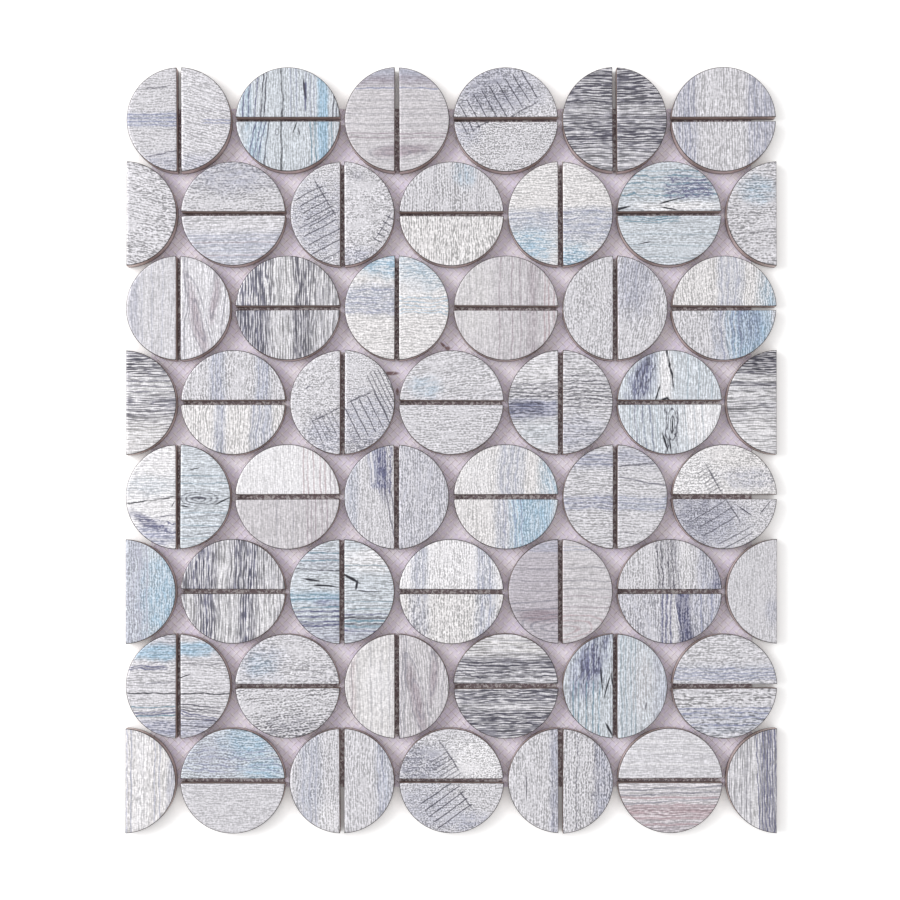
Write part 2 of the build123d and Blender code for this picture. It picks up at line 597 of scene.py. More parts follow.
# The edge colour is a painted shade: the bare metal of the eased edge is darkened to near black.
DARK_EDGE_FROM, DARK_EDGE_TO, EDGE_METAL_AND_SHADE = 0.36, 0.18, (0.05, 0.04, 0.04, 1)
FACE_ROUGHNESS, FACE_METALLIC = 0.42, 0.3
tree, given, result = group(
    "satin_face", {"Vector": None, "Colour": (0.6, 0.6, 0.6, 1), "Inset": 5.0, "Linen": 0.5},
    ["Colour", "Roughness", "Metallic", "Height"])
weave = -1.0
for size in WEAVE_SIZES:
    stretched = vectors(tree, "MULTIPLY", given["Vector"], size)
    weave = sums(tree, "ADD", weave, noise(tree, stretched, 1.0, 0.0))
lit = sums(tree, "MULTIPLY_ADD", weave, given["Linen"], 1.0)
# rim is 1 on the eased edge, where the painted shade lies.
rim = step(tree, given["Inset"], DARK_EDGE_FROM, DARK_EDGE_TO)
gloss = sums(tree, "MULTIPLY_ADD", weave, 0.2, FACE_ROUGHNESS)
feed(tree, result, {
    "Colour": blend(tree, rim, dimmed(tree, given["Colour"], lit), EDGE_METAL_AND_SHADE),
    "Roughness": sums(tree, "MULTIPLY_ADD", rim, -0.2, gloss),
    "Metallic": sums(tree, "MULTIPLY_ADD", rim, FACE_METALLIC, FACE_METALLIC),
    "Height": sums(tree, "MULTIPLY", weave, sums(tree, "SUBTRACT", 1, rim))})
satin_face = tree
print("satin face outputs:", [socket.name for socket in result if socket.name])

# %% [markdown]
# ## Inks and recipes
# The prints share one small set of inks, written as the eye sees them and turned to linear light by
# the usual curve. A recipe names the way the grain runs, the ground ink and the marks laid over it,
# with places in disc radii from the disc's centre. Where the two halves of a disc were cut from
# different prints the recipe is a pair, the left or upper half first. The satin face also mirrors
# its white surroundings, so every ink is laid a little deeper than it looks.

# %% Inks and marks
INKS = {
    "white": (238, 236, 239), "cream": (229, 226, 227), "silver": (216, 214, 219),
    "ice": (208, 213, 220), "greige": (211, 207, 211), "taupe": (196, 190, 198),
    "pewter": (140, 138, 149), "mauve": (166, 153, 162), "rose": (184, 162, 168),
    "lilac": (182, 183, 198), "haze": (192, 195, 208), "periwinkle": (146, 150, 178),
    "indigo": (104, 105, 136), "stone": (158, 156, 166), "slate": (112, 110, 124),
    "charcoal": (72, 70, 84), "black": (36, 36, 46), "sky": (164, 194, 216),
    "teal": (116, 146, 163)}
INK_DEPTH = 0.94
FINE_BAND, FINE_BLOT = 0.04, 0.06


def ink(name):
    """Linear colour of an ink: ((c + 0.055) / 1.055) to the power 2.4 above the toe of the curve."""
    seen = np.array(INKS[name]) / 255
    linear = np.where(seen < 0.04, seen / 12.92, ((seen + 0.055) / 1.055) ** 2.4)
    return (*(INK_DEPTH * linear), 1)


def band(name, centre, half, strength=0.85, soft=0.07, streaky=0.55, waver=0.1, slope=0.0, start=-2.0,
         end=2.0):
    """A stripe along the grain; a fine one lies over the fibres."""
    return [(grain_band, name, half < FINE_BAND, dict(
        Centre=centre, Half_Width=half, Strength=strength, Softness=soft, Streaky=streaky, Waver=waver,
        Slope=slope, From=start, To=end))]


def lines(name, *centres, start=-2.0, end=2.0, strength=0.9, thick=0.013, slope=0.0, waver=0.07):
    """Seams or cracks along the grain, one for each centre; a steep one is as thick as a level one."""
    thick = thick * math.hypot(1, slope)
    return [mark for c in centres
            for mark in band(name, c, thick, strength, 0.5 * thick, 0.35, waver, slope, start, end)]


def blot(name, along, across, long, wide, strength=0.75, soft=0.6, streaky=0.6, turn=0, ragged=1.0):
    """A ragged patch of ink; a fine one lies over the fibres. The soft white patches on some prints are
    painted sheen.
    """
    return [(ragged_blot, name, wide < FINE_BLOT, dict(
        Along=along, Across=across, Long=long, Wide=wide, Strength=strength, Softness=soft,
        Streaky=streaky, Turn=math.radians(turn), Ragged=ragged))]


def crack(along, across, long, turn=0, thick=0.02, name="black"):
    """A short dark split, pointed at both ends."""
    return blot(name, along, across, long, 0.42 * thick, 1.0, 0.4, 0.0, turn, 1.6)


def saw(along, across, long, wide, turn, spacing=0.1, strength=0.8, name="charcoal"):
    """A block of saw cuts that cross a line at the given turn."""
    return [(saw_marks, name, True, dict(
        Along=along, Across=across, Long=long, Wide=wide, Turn=math.radians(turn), Spacing=spacing,
        Strength=strength, Streaky=0.15, Thickness=0.016 / spacing))]


def rings(name, along, across, long, wide, count=4.0, strength=0.5, turn=0, thick=0.3):
    """Nested growth rings."""
    return [(growth_rings, name, True, dict(
        Along=along, Across=across, Long=long, Wide=wide, Rings=count, Strength=strength,
        Turn=math.radians(turn), Thickness=thick, Streaky=0.4))]


def wood(grain, ground, *marks, fine=44.0, stretch=1.8, dark=0.38, light=0.2, flash=0.0, hair=0.12,
         lined=0.2, wave=0.02, slant=0):
    """One print: direction of the grain, ground ink, fibre look and the marks in the order laid."""
    return dict(grain=grain, ground=ground, marks=sum(marks, []), fine=fine, stretch=stretch, dark=dark,
                light=light, flash=flash, hair=hair, lined=lined, wave=wave, slant=slant)


def streaked(grain, *marks, **look):
    """Weathered dark wood: white and dark fibres on stone grey."""
    usual = dict(fine=50.0, stretch=8.5, dark=0.56, light=0.3, flash=0.7, hair=0.35)
    return wood(grain, "stone", *marks, **{**usual, **look})


def dashed(grain, *marks, ground="silver", **look):
    """Pale wood with short dark dashes."""
    usual = dict(fine=42.0, stretch=2.0, dark=0.46, lined=0.16)
    return wood(grain, ground, *marks, **{**usual, **look})


def stippled(grain, *marks, ground="silver", **look):
    """Pale end grain with small specks."""
    usual = dict(stretch=1.3, dark=0.46, light=0.25, hair=0.08, lined=0.1)
    return wood(grain, ground, *marks, **{**usual, **look})


def silky(grain, ground, *marks, **look):
    """Smooth wood with long straight lines."""
    usual = dict(stretch=4.4, dark=0.17, light=0.1, hair=0.15)
    return wood(grain, ground, *marks, **{**usual, **look})


print("inks:", len(INKS))

# %% Marks that several prints share
LEVEL, UPRIGHT = "level", "upright"
flame = [
    *blot("mauve", -0.25, 0.36, 0.7, 0.1, 0.85, 0.7, 0.2, -14),
    *rings("pewter", -0.2, 0.38, 1.2, 0.22, 3, 0.7, -14, 0.22),
    *blot("mauve", 0.2, 0.7, 0.45, 0.07, 0.75, 0.7, 0.2, 6),
    *rings("pewter", 0.25, 0.68, 0.8, 0.13, 2, 0.6, 4, 0.22),
    *lines("pewter", 0.1, 0.16, 0.86, strength=0.7, slope=0.05)]
sweep = [
    *band("haze", 0.1, 0.26, 0.8), *band("sky", 0.88, 0.2, 0.7, 0.16),
    *lines("lilac", -0.06, 0.06, 0.2, waver=0.15),
    *lines("white", 0, 0.13, 0.28, waver=0.15, strength=0.5)]
low_sweep = [
    *band("haze", -0.08, 0.16), *band("sky", 0.5, 0.42, 0.9, 0.12, 0.35),
    *lines("white", 0.02, 0.12, 0.22, waver=0.15, strength=0.5),
    *lines("periwinkle", -0.05, 0.17, 0.3, waver=0.15, strength=0.6)]
planks = [
    *band("indigo", -0.68, 0.26, 0.5, 0.12), *band("white", -0.1, 0.2, 0.75, 0.1, 0.4),
    *band("slate", 0.25, 0.14, 0.5, 0.1), *band("silver", 0.78, 0.3, 0.85, 0.15),
    *lines("charcoal", -0.8, -0.62, -0.5, 0.15, 0.3, strength=0.5)]
stripe = [
    *lines("black", -0.115, thick=0.017), *band("sky", 0.67, 0.1, 0.95, 0.04, 0.25)]
print("marks in the shared lists:", [len(marks) for marks in (flame, sweep, low_sweep, planks, stripe)])

# %% Prints of row 1
PRINTS = []
PRINTS.append([
    (wood(LEVEL, "silver", lines("charcoal", 0.61, start=-0.65, end=-0.2), band("haze", 0, 0.14),
         lines("periwinkle", 0.1, 0.03, -0.04, -0.11), blot("lilac", -0.3, -0.85, 0.5, 0.2),
         lines("slate", -0.59, start=-0.62, slope=0.2), dark=0.38, light=0.1),
     wood(LEVEL, "silver", lines("pewter", 0.17, strength=0.4),
         lines("periwinkle", 0, -0.06, start=0.45), blot("lilac", 0.4, -0.85, 0.45, 0.18), slant=-14,
         dark=0.34)),
    (wood(UPRIGHT, "ice", stripe, blot("sky", 0.3, -0.78, 0.6, 0.12, 0.5),
         lines("indigo", -0.86, -0.76, -0.63, slope=0.06), lines("charcoal", -0.5, -0.44, slope=0.03),
         crack(0.5, 0.33, 0.34, 2, 0.06, "indigo"), crack(0.62, 0.31, 0.22, -6, 0.05, "charcoal"),
         lines("charcoal", 0.88, 0.94), lines("periwinkle", 0.5, 0.42, 0.16, 0.05, strength=0.5),
         dark=0.3, stretch=3),
     wood(UPRIGHT, "ice", stripe, blot("sky", -0.4, -0.62, 0.5, 0.2, 0.6),
         lines("indigo", -0.6, -0.5, -0.42, slope=0.2), lines("charcoal", -0.36, slope=0.1),
         lines("teal", 0.45, 0.53, 0.84), crack(-0.12, 0.15, 0.14, 18), crack(-0.25, 0.22, 0.08, -10),
         rings("charcoal", -0.25, -0.2, 0.09, 0.05, 1.5, 0.8), dark=0.3, stretch=3)),
    silky(LEVEL, "greige", band("lilac", 0.84, 0.16, 0.95, 0.1, 0.2), band("mauve", 0.74, 0.09, 0.6),
        lines("periwinkle", 0.59), lines("pewter", 0.36, 0.21, 0.1, -0.1, strength=0.35),
        lines("mauve", -0.28, -0.36), rings("pewter", 0, -0.64, 0.75, 0.2, 3, 0.5, 0, 0.2),
        blot("mauve", 0.1, -0.6, 0.5, 0.1, 0.9, streaky=0.2, turn=4)),
    (stippled(LEVEL, blot("lilac", -0.2, 0.6, 0.9, 0.5, 0.8, streaky=0.3),
         blot("slate", -0.4, 0.55, 0.6, 0.35, 0.4, streaky=0.9),
         saw(-0.15, 0.36, 0.75, 0.34, 30, 0.17, 0.95),
         lines("charcoal", -0.03, start=-0.1, end=0.6, slope=0.6)),
     stippled(LEVEL, blot("lilac", -0.8, -0.25, 0.3, 0.25),
         saw(-0.68, -0.1, 0.25, 0.14, 28, 0.13, 0.95),
         lines("charcoal", 0.13, start=-0.6, end=-0.15, slope=0.48), dark=0.56)),
    streaked(LEVEL, band("slate", 0.72, 0.3, 0.9, 0.2), band("silver", 0.18, 0.1, 0.4),
        band("slate", -0.3, 0.2, 0.9, 0.15), band("silver", -0.82, 0.18, 0.4, 0.15),
        lines("charcoal", 0.86, 0.62, 0.5, 0.33, -0.2, -0.34, waver=0.15)),
    wood(UPRIGHT, "silver", band("lilac", -0.72, 0.2, 0.8, 0.12),
        lines("periwinkle", -0.84, -0.74, -0.66, -0.56, strength=0.4),
        band("lilac", 0.75, 0.28, 0.75, 0.12), lines("periwinkle", 0.5, 0.6, 0.68, 0.8, strength=0.4),
        stretch=3, dark=0.33),
])
print("discs in row 1:", len(PRINTS[-1]))

# %% Prints of row 2
PRINTS.append([
    dashed(LEVEL, slant=-12, dark=0.52),
    (dashed(LEVEL, blot("lilac", 0, 0.75, 0.75, 0.35),
         lines("slate", 0.8, 0.66, 0.5, strength=0.4, waver=0.3), wave=0.05, light=0.08),
     wood(LEVEL, "silver", band("haze", -0.72, 0.34, 0.8, 0.15),
         lines("lilac", -0.42, -0.5, -0.62, -0.72, -0.84), lines("rose", -0.56, -0.8, strength=0.4),
         stretch=3, dark=0.3)),
    (stippled(LEVEL, blot("lilac", -0.5, -0.15, 0.5, 0.75, 0.65),
         blot("slate", -0.45, -0.15, 0.4, 0.6, 0.15, streaky=0.9),
         saw(-0.5, 0.15, 0.4, 0.3, -63, 0.14, 0.9), saw(-0.35, -0.45, 0.4, 0.36, -63, 0.19, 0.95),
         lines("charcoal", -0.26, start=-0.55, end=-0.12, slope=-1.68)),
     stippled(LEVEL, saw(0.8, -0.3, 0.3, 0.1, 58, 0.12, 0.95),
         lines("charcoal", -1.5, start=0.62, end=0.95, slope=1.6),
         blot("slate", 0.3, 0.75, 0.2, 0.1, 0.5), blot("lilac", 0.3, -0.85, 0.45, 0.2))),
    (dashed(UPRIGHT, blot("sky", 0.78, 0.24, 0.25, 0.2, 0.5), lines("pewter", -0.3, 0.5, strength=0.4),
         wave=0.04, dark=0.48),
     dashed(UPRIGHT, ground="cream", wave=0.04, stretch=3)),
    (wood(LEVEL, "cream", blot("sky", -0.55, -0.55, 0.45, 0.4, 0.85),
         band("haze", -0.12, 0.2, 0.85, 0.1), lines("periwinkle", 0, -0.1, strength=0.4, waver=0.12),
         wave=0.03, dark=0.3),
     wood(LEVEL, "cream", band("haze", -0.22, 0.34, 0.95, 0.1), blot("sky", 0.2, -0.85, 0.5, 0.28, 0.9),
         lines("periwinkle", 0.05, -0.08, -0.2, -0.34, strength=0.5, waver=0.12), wave=0.03,
         dark=0.32)),
    (wood(LEVEL, "ice", lines("teal", 0.82, 0.7, 0.58, 0.48, 0.36, waver=0.2),
         blot("periwinkle", 0.4, 0.5, 0.42, 0.24, 0.7, streaky=0.8, turn=-12),
         lines("indigo", 0.64, 0.56, 0.48, 0.4, 0.34, start=-0.1, end=0.85, waver=0.35, strength=1),
         rings("indigo", 0.5, 0.45, 0.34, 0.15, 4, 0.9, -12, 0.2),
         blot("white", 0.2, 0.14, 0.8, 0.1, 0.9, streaky=0), crack(0.02, 0.25, 0.24, 14, 0.035),
         crack(0, 0.1, 0.16, -12, 0.035), crack(-0.9, 0.1, 0.16, 15, 0.05), stretch=3),
     wood(LEVEL, "ice", lines("teal", -0.06, -0.1, -0.15, start=-0.9, end=0.2, waver=0.1),
         crack(-0.48, -0.58, 0.1, 12, 0.02), lines("teal", -0.4, -0.62, -0.85, strength=0.3), stretch=3,
         dark=0.3)),
    dashed(LEVEL, blot("sky", -0.42, 0.45, 0.3, 0.25, 0.6), dark=0.52, hair=0.25),
])
print("discs in row 2:", len(PRINTS[-1]))

# %% Prints of row 3
PRINTS.append([
    (silky(UPRIGHT, "silver", band("lilac", -0.86, 0.09, 0.7),
         lines("lilac", -0.7, -0.5, -0.3, strength=0.5)),
     silky(UPRIGHT, "silver", flame, lines("pewter", -0.6, -0.35, strength=0.5, waver=0.15), wave=0.04,
         dark=0.12, light=0.35)),
    (streaked(UPRIGHT, planks, flash=1, dark=0.5),
     streaked(UPRIGHT, planks)),
    (wood(LEVEL, "cream", blot("sky", -0.25, 0.85, 0.5, 0.26, 0.9), band("haze", 0.16, 0.28, 0.9, 0.12),
         lines("periwinkle", 0.35, 0.2, 0.08, -0.05, -0.1, strength=0.6, waver=0.15), wave=0.04,
         dark=0.26),
     # The white blot here is a painted sheen.
     wood(LEVEL, "cream", blot("sky", 0.5, 0.7, 0.6, 0.35, 0.6), blot("white", 0.25, 0.4, 0.3, 0.15),
         lines("sky", 0.18, 0.1, 0.02, -0.06, -0.12, waver=0.15, strength=0.6), wave=0.04, dark=0.26)),
    silky(UPRIGHT, "greige", lines("mauve", 0.115, 0.27, -0.12, strength=0.8),
        band("mauve", 0.5, 0.1, 0.6, 0.08), blot("cream", 0.2, -0.6, 0.8, 0.35),
        lines("rose", 0.74, 0.82, 0.92, strength=0.8)),
    (dashed(UPRIGHT, wave=0.04, dark=0.4),
     wood(UPRIGHT, "silver", blot("lilac", 0.5, 0.35, 0.65, 0.4, 0.8, streaky=0.4),
         lines("lilac", 0.2, 0.4, start=0.1), slant=10)),
    (wood(UPRIGHT, "cream", sweep, wave=0.05),
     wood(UPRIGHT, "silver", low_sweep, blot("periwinkle", -0.3, 0.45, 0.45, 0.3, 0.6), wave=0.05)),
])
print("discs in row 3:", len(PRINTS[-1]))

# %% Prints of row 4
PRINTS.append([
    streaked(LEVEL, band("charcoal", 0.74, 0.18, 0.65, 0.1), band("white", 0.3, 0.18, 0.95, 0.1, 0.3),
        lines("slate", 0.42, 0.32, 0.22, waver=0.1), band("slate", 0.02, 0.06, 0.5),
        band("slate", -0.2, 0.08, 0.6), blot("cream", 0.4, -0.75, 0.8, 0.5, 0.95, streaky=0.2),
        lines("charcoal", 0.8, 0.66, -0.16, -0.24, strength=0.6), flash=1, dark=0.5),
    (wood(UPRIGHT, "silver", band("haze", -0.3, 0.15),
         lines("periwinkle", -0.24, -0.3, -0.38, strength=0.5), band("haze", 0.56, 0.14),
         lines("periwinkle", 0.48, 0.56, 0.64, strength=0.5), dark=0.42),
     wood(UPRIGHT, "cream", band("haze", -0.26, 0.12), lines("periwinkle", -0.2, -0.3, strength=0.5),
         band("haze", 0.56, 0.2), lines("periwinkle", 0.38, 0.5, 0.62, 0.72, strength=0.4), wave=0.06,
         stretch=3)),
    (stippled(LEVEL, saw(-0.32, -0.42, 0.3, 0.26, 27, 0.1, 0.6),
         lines("charcoal", -0.08, start=-0.6, end=-0.05, slope=0.52),
         blot("lilac", -0.3, -0.65, 0.4, 0.35), crack(-0.66, 0.3, 0.06, 40, 0.03, "slate")),
     stippled(LEVEL, blot("lilac", 0.5, -0.4, 0.55, 0.5), saw(0.47, -0.24, 0.42, 0.36, 27, 0.16, 0.95),
         saw(0.8, 0.2, 0.2, 0.45, 27, 0.08, 0.8),
         lines("charcoal", -0.06, start=0.1, end=0.6, slope=0.48),
         blot("slate", 0.35, -0.8, 0.5, 0.2, 0.5, streaky=0.9))),
    (dashed(LEVEL, blot("sky", -0.5, 0.3, 0.28, 0.2, 0.45),
         lines("slate", 0.24, 0.14, start=0.1, strength=0.3), slant=8, dark=0.4),
     dashed(LEVEL, dark=0.4)),
    # The white blot here is a painted sheen.
    (wood(LEVEL, "silver", blot("white", -0.4, 0.7, 0.6, 0.3),
         lines("charcoal", 0.34, 0.26, 0.18, 0.12, waver=0.15, strength=0.8),
         blot("indigo", -0.75, -0.15, 0.6, 0.18, 0.9, streaky=0.5),
         band("periwinkle", -0.1, 0.14, 0.8, end=-0.05),
         lines("charcoal", 0, -0.08, -0.15, -0.22, end=-0.3, waver=0.15),
         blot("ice", -0.4, -0.6, 0.6, 0.3), stretch=3, dark=0.42),
     wood(LEVEL, "silver",
         lines("charcoal", 0.5, 0.4, 0.34, 0.26, 0.2, 0.12, 0.05, -0.02, -0.1, waver=0.12, strength=0.75),
         blot("lilac", 0.3, -0.6, 0.6, 0.35), dark=0.48, stretch=3)),
    (wood(UPRIGHT, "ice", blot("periwinkle", 0.42, -0.52, 0.5, 0.24, 0.9, turn=20),
         blot("indigo", 0.4, -0.5, 0.45, 0.14, 0.7, streaky=0.8, turn=22),
         lines("charcoal", -0.8, -0.68, -0.55, start=0.1, waver=0.3, slope=0.35, strength=0.7),
         blot("white", 0.5, -0.08, 0.6, 0.14, 0.95, streaky=0.1),
         lines("black", 0.12, start=0.25, slope=-0.16, thick=0.018, strength=1),
         crack(0.15, -0.24, 0.18, 16, 0.035), crack(0.06, -0.1, 0.08, 75, 0.05),
         crack(0.05, -0.02, 0.06, -40, 0.04), lines("teal", 0.35, 0.55, 0.8, strength=0.4), stretch=3,
         dark=0.22, light=0.3),
     wood(UPRIGHT, "ice",
         lines("teal", -0.76, -0.62, -0.5, -0.38, -0.26, 0.28, 0.46, 0.62, slope=-0.06, strength=0.3),
         lines("indigo", -0.68, -0.52, -0.38, slope=-0.08, strength=0.6, waver=0.15),
         rings("charcoal", -0.42, 0.05, 0.46, 0.13, 3, 0.9, 0, 0.2), crack(-0.42, 0.05, 0.16, 0, 0.035),
         lines("charcoal", -0.06, 0.14, end=-0.1, waver=0.2), crack(-0.78, -0.08, 0.2, -18, 0.04),
         # The white blot here is a painted sheen.
         crack(-0.85, 0.02, 0.14, -10, 0.035), blot("white", -0.3, 0.66, 0.7, 0.42, 0.9, streaky=0.2),
         stretch=3, dark=0.2, light=0.3)),
    streaked(LEVEL, band("charcoal", 0.76, 0.22, 0.95, 0.1), band("white", 0.44, 0.08, 0.9, 0.05, 0.3),
        band("slate", 0.33, 0.04, 0.8), band("white", 0.12, 0.14, 0.85, 0.06, 0.3),
        band("charcoal", -0.14, 0.07, 0.95, end=-0.2),
        # The white blot here is a painted sheen.
        blot("white", -0.4, -0.65, 0.8, 0.5, 0.95, streaky=0.2),
        lines("charcoal", 0.84, 0.68, 0.56, 0.36, strength=0.6)),
])
print("discs in row 4:", len(PRINTS[-1]))

# %% Prints of row 5
PRINTS.append([
    # The white ground of this left half is a painted sheen.
    (wood(LEVEL, "white", blot("ice", -0.5, 0.2, 0.6, 0.2),
         lines("black", 0, start=-1, end=-0.05, slope=0.12, thick=0.014),
         lines("slate", -0.33, start=-0.45, slope=0.15),
         blot("periwinkle", -0.45, -0.75, 0.5, 0.24, 0.8), crack(-0.1, -0.14, 0.07, 60),
         blot("indigo", -0.62, -0.45, 0.32, 0.1, 0.9, turn=-28),
         lines("indigo", -0.55, -0.68, start=-0.7, waver=0.35, slope=-0.2), stretch=3, dark=0.24),
     wood(LEVEL, "ice", lines("teal", 0.4, 0.25, -0.3, -0.55, -0.8, strength=0.5),
         rings("charcoal", 0.4, -0.04, 0.46, 0.17, 4, 0.75),
         crack(0.42, -0.02, 0.16, 0, 0.035, "charcoal"), crack(0.86, -0.08, 0.14, 25, 0.035),
         crack(0.12, -0.18, 0.1, -15, 0.03), crack(0.32, 0.54, 0.1, 14, 0.02),
         lines("charcoal", -0.42, -0.62, -0.75, slope=0.08, strength=0.5, waver=0.15), stretch=3,
         dark=0.3)),
    # The white ground of this upper half, lighter than the greige lower half, is a painted sheen.
    (silky(UPRIGHT, "white", lines("rose", 0.3, 0.38, 0.5, 0.62, 0.72, strength=0.7),
         lines("mauve", 0.82, 0.9, strength=0.7), dark=0.14),
     silky(UPRIGHT, "greige", lines("mauve", 0.38, 0.46, 0.54, 0.66, 0.76, strength=0.8),
         lines("pewter", 0.1, -0.2, strength=0.4), dark=0.18)),
    (wood(UPRIGHT, "silver", band("periwinkle", -0.3, 0.16, 0.85, 0.06, slope=-0.12, start=0.15),
         blot("indigo", 0.55, -0.27, 0.55, 0.11, 0.9, streaky=0.7, turn=-5),
         lines("indigo", -0.32, -0.22, -0.12, start=0.05, waver=0.25),
         lines("white", -0.42, start=0.25, slope=-0.1, thick=0.02),
         lines("slate", -0.2, -0.1, end=0.2, slope=-0.2), band("haze", -0.88, 0.14), dark=0.35),
     wood(UPRIGHT, "silver", band("lilac", 0.5, 0.6, 0.5, 0.2), dark=0.38)),
    # The white blot here is a painted sheen.
    (wood(UPRIGHT, "cream", sweep, blot("white", 0.4, -0.5, 0.5, 0.4, 0.7), wave=0.05, dark=0.3),
     wood(UPRIGHT, "cream", low_sweep, wave=0.05, dark=0.3)),
    (wood(LEVEL, "silver", band("lilac", 0.72, 0.15, 0.9, 0.1),
         lines("periwinkle", 0.8, 0.72, 0.64, strength=0.5), band("lilac", -0.12, 0.13, 0.8),
         lines("periwinkle", -0.03, -0.12, -0.22, waver=0.15, strength=0.6), stretch=3, wave=0.03,
         dark=0.42),
     wood(LEVEL, "silver", band("lilac", 0.76, 0.15, 0.9, 0.1),
         lines("charcoal", 0.56, start=0.05, slope=0.14), lines("slate", 0.38, start=0.05, slope=-0.16),
         lines("slate", 0.5, 0.25, strength=0.3), band("haze", -0.12, 0.13, 0.9),
         lines("periwinkle", -0.03, -0.12, -0.22, waver=0.15, strength=0.6),
         crack(0.3, -0.7, 0.17, -5, 0.018, "charcoal"), stretch=2.6, wave=0.03)),
    # The white blot here is a painted sheen.
    (stippled(LEVEL, blot("white", -0.6, 0.4, 0.5, 0.45, 0.9, streaky=0.2),
         saw(-0.28, 0.32, 0.3, 0.16, -60, 0.07, 0.6),
         lines("charcoal", -0.02, start=-0.36, end=-0.05, slope=-1.7),
         blot("lilac", 0.5, 0.35, 0.5, 0.2, 0.6), ground="cream", dark=0.42),
     stippled(LEVEL, blot("lilac", -0.4, -0.45, 0.7, 0.55, 0.9, streaky=0.3),
         blot("slate", -0.6, -0.4, 0.5, 0.5, 0.5, streaky=0.9), saw(-0.18, -0.4, 0.36, 0.4, -56, 0.18),
         lines("charcoal", 0, start=0.02, end=0.3, slope=-1.5), saw(0.25, -0.85, 0.25, 0.34, -60, 0.12),
         crack(0.38, -0.25, 0.22, -35, 0.022, "charcoal"),
         crack(0.78, -0.2, 0.16, 50, 0.022, "charcoal"))),
])
print("discs in row 5:", len(PRINTS[-1]))

# %% Prints of row 6
PRINTS.append([
    wood(UPRIGHT, "ice", band("lilac", 0.2, 0.24, 0.8, 0.12), blot("sky", -0.2, 0.75, 0.85, 0.36, 0.85),
        lines("lilac", 0.3, 0.45), dark=0.34),
    (streaked(UPRIGHT, band("indigo", -0.62, 0.2, 0.7, 0.1), band("white", -0.18, 0.12, 0.75),
         band("indigo", 0.09, 0.05, 0.6), band("indigo", 0.34, 0.09, 0.6),
         band("silver", 0.78, 0.28, 0.85, 0.12), lines("charcoal", -0.7, -0.56, 0.1, strength=0.6),
         flash=0.85),
     streaked(UPRIGHT, band("white", -0.85, 0.12, 0.7), band("indigo", -0.5, 0.1, 0.65),
         band("white", -0.1, 0.2, 0.75), band("indigo", 0.25, 0.08, 0.65),
         band("white", 0.75, 0.32, 0.85, 0.12), lines("charcoal", -0.6, -0.46, 0.2, strength=0.6),
         flash=0.95, dark=0.5)),
    (wood(LEVEL, "ice", lines("charcoal", 0.4, slope=-0.04), crack(-0.6, 0.23, 0.15, -8, 0.045),
         crack(-0.28, 0.11, 0.28, -3, 0.045), band("sky", -0.1, 0.1, 0.7, 0.08),
         blot("lilac", -0.4, 0.6, 0.5, 0.2, 0.5), blot("periwinkle", -0.2, -0.22, 0.35, 0.1, 0.9),
         lines("teal", -0.06, -0.14, -0.3, 0.6, 0.75),
         lines("indigo", -0.38, -0.48, -0.58, -0.64, thick=0.02, strength=1),
         band("lilac", -0.82, 0.16, 0.9), stretch=3.4),
     wood(LEVEL, "ice", crack(0.15, 0.26, 0.2, -30, 0.06), crack(0.28, 0.12, 0.09, 80, 0.05),
         lines("charcoal", 0, start=0.3, end=0.72),
         lines("charcoal", -0.5, -0.62, thick=0.018, strength=1),
         lines("teal", -0.56, -0.66, thick=0.02),
         lines("teal", -0.2, -0.34, -0.56, -0.68, 0.5, strength=0.5), band("lilac", -0.82, 0.16, 0.8),
         # The white blot here is a painted sheen.
         blot("white", 0.5, 0.6, 0.5, 0.22, 0.9, streaky=0.2),
         lines("indigo", -0.44, -0.75, strength=1), stretch=3.4)),
    (wood(UPRIGHT, "white", band("haze", -0.62, 0.16, 0.8), lines("lilac", -0.55, -0.68),
         band("haze", 0.66, 0.18, 0.8), lines("periwinkle", 0.52, 0.6, 0.74, strength=0.5), dark=0.33),
     wood(UPRIGHT, "cream", band("lilac", -0.62, 0.18, 0.7), band("haze", 0.66, 0.2),
         lines("periwinkle", 0.58, 0.74, strength=0.5), dark=0.44)),
    (silky(LEVEL, "taupe", band("lilac", 0.88, 0.1, 0.8), lines("periwinkle", 0.78, strength=0.4),
         lines("pewter", 0.62, 0.42, 0.2, 0.02, strength=0.45), lines("pewter", -0.15, -0.3, slope=0.1),
         blot("mauve", -0.35, -0.46, 0.42, 0.13, 1, 0.5, 0.1),
         rings("pewter", -0.15, -0.68, 0.8, 0.32, 4, 0.8, 0, 0.2), dark=0.24),
     silky(LEVEL, "greige", lines("lilac", 0.8, 0.86), lines("pewter", 0.45, 0.2, 0.05, strength=0.5),
         lines("mauve", -0.1, -0.3, strength=0.7),
         rings("rose", 0.1, -0.72, 0.95, 0.34, 4, 0.7, 8, 0.2))),
    (wood(UPRIGHT, "silver", band("stone", -0.03, 0.18, 0.4),
         lines("charcoal", -0.2, -0.12, 0, 0.08, slope=-0.06, strength=0.85, waver=0.12),
         band("white", 0.3, 0.08, 0.8), lines("slate", 0.2, slope=-0.15, strength=0.6),
         band("lilac", 0.78, 0.24), blot("indigo", 0.2, 0.92, 0.3, 0.1, 0.8), dark=0.42),
     wood(UPRIGHT, "silver", band("lilac", -0.5, 0.5, 0.5),
         band("indigo", 0.23, 0.14, 1, 0.05, 0.35, slope=-0.1),
         lines("indigo", -0.14, -0.06, 0.02, thick=0.018),
         lines("white", 0.06, start=-0.7, end=-0.2, slope=-0.2), band("lilac", 0.72, 0.3),
         lines("periwinkle", 0.6, 0.8), dark=0.42)),
    silky(UPRIGHT, "silver", blot("lilac", -0.38, -0.12, 0.25, 0.14, 0.7), dark=0.26, stretch=1.8),
])
print("discs in row 6:", len(PRINTS[-1]))

